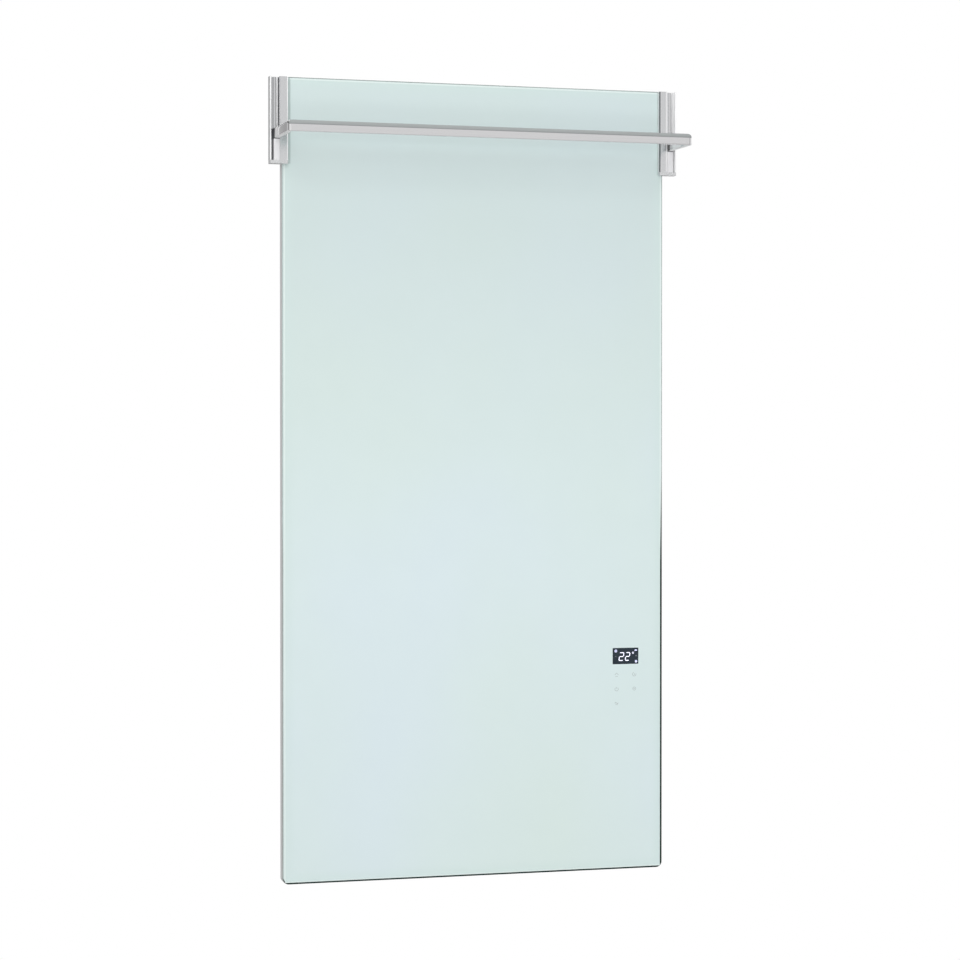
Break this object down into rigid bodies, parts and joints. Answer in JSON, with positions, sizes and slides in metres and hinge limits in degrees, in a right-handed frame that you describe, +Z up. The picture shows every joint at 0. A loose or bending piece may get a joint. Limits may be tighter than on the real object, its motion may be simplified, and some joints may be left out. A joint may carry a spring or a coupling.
{
  "type": "infrared panel heater",
  "caption": "Tall flat glass-fronted infrared wall heater with a touch display and a lift-off towel rail held in side brackets.",
  "frame": {"origin": "middle of the four wall-screw holes, in the wall plane, behind the middle of the panel", "axes": "+Z up along the panel's long side, +Y into the wall, so the glass faces -Y"},
  "size_m": [0.6406, 0.128, 1.2002],
  "materials": {
    "glass": "tempered glass, mint white from behind, polished",
    "enamel": "fired white enamel",
    "smoked_film": "smoked film",
    "silicone": "cured silicone",
    "film": "carbon heating film",
    "copper": "copper strip",
    "mica": "mica paper",
    "foil": "bright foil",
    "mat": "needled glass fibre",
    "casing_paint": "white powder coat",
    "zinc_steel": "zinc plated",
    "rubber": "matt",
    "screw_steel": "zinc plated",
    "dark_plastic": "moulded",
    "brass": "plain",
    "white_plastic": "moulded",
    "board": "solder resist",
    "relay_plastic": "moulded",
    "terminal_plastic": "moulded",
    "fuse": "plated caps",
    "pad_foam": "conductive foam",
    "ribbon": "flat cable",
    "cutout": "plain",
    "lead_sleeve": "silicone sleeve",
    "rocker_plastic": "moulded",
    "bracket_alu": "bright anodised",
    "strip_plastic": "light grey",
    "cap_alu": "bright",
    "rail_chrome": "polished",
    "foot_alu": "die cast, bright"
  },
  "bodies": {
    "panel": {"front_glass": "glass", "enamel_backprint": "enamel", "display_window": "smoked_film", "edge_bond": "silicone", "heating_film": "film", "busbars": "copper", "mica_sheet": "mica", "reflector_foil": "foil", "insulation_mat": "mat", "rear_casing": "casing_paint", "casing_stiffeners": "zinc_steel", "hanging_lugs": "zinc_steel", "lug_rivets": "zinc_steel", "wall_rail_upper": "zinc_steel", "wall_rail_lower": "zinc_steel", "wall_bumpers": "rubber", "access_hatch": "casing_paint", "hatch_screws": "screw_steel", "cable_grommet": "rubber", "cord_clamp": "dark_plastic", "clamp_screws": "screw_steel", "earth_stud": "brass", "electronics_box": "white_plastic", "main_board": "board", "board_screws": "screw_steel", "relay": "relay_plastic", "power_module": "dark_plastic", "terminal_block": "terminal_plastic", "mains_fuse": "fuse", "display_module": "dark_plastic", "touch_board": "board", "touch_pads": "pad_foam", "display_ribbon": "ribbon", "thermal_cutouts": "cutout", "room_sensor": "dark_plastic", "sensor_clip": "white_plastic", "film_leads": "lead_sleeve", "switch_body": "dark_plastic", "switch_terminals": "brass", "switch_leads": "lead_sleeve", "left_bracket": "bracket_alu", "right_bracket": "bracket_alu", "left_stop_strip": "strip_plastic", "right_stop_strip": "strip_plastic", "left_end_cap": "cap_alu", "right_end_cap": "cap_alu", "cap_screws": "screw_steel", "bracket_screws": "screw_steel", "bracket_nut_plates": "zinc_steel", "bracket_pads": "rubber"},
    "rail": {"towel_bar": "rail_chrome", "left_arm": "rail_chrome", "right_arm": "rail_chrome", "left_foot": "foot_alu", "right_foot": "foot_alu", "rail_screws": "screw_steel"},
    "rocker": {"switch_rocker": "rocker_plastic"}
  },
  "joints": [
    {"name": "rail_lift", "type": "slide", "parent": "panel", "child": "rail", "axis": [0, 0, 1], "range_m": [0, 0.094]},
    {"name": "power_rocker", "type": "hinge", "parent": "panel", "child": "rocker", "pos_m": [0.2983, -0.0176, -0.545], "axis": [0, 1, 0], "range_deg": [-16, 0]}
  ]
}
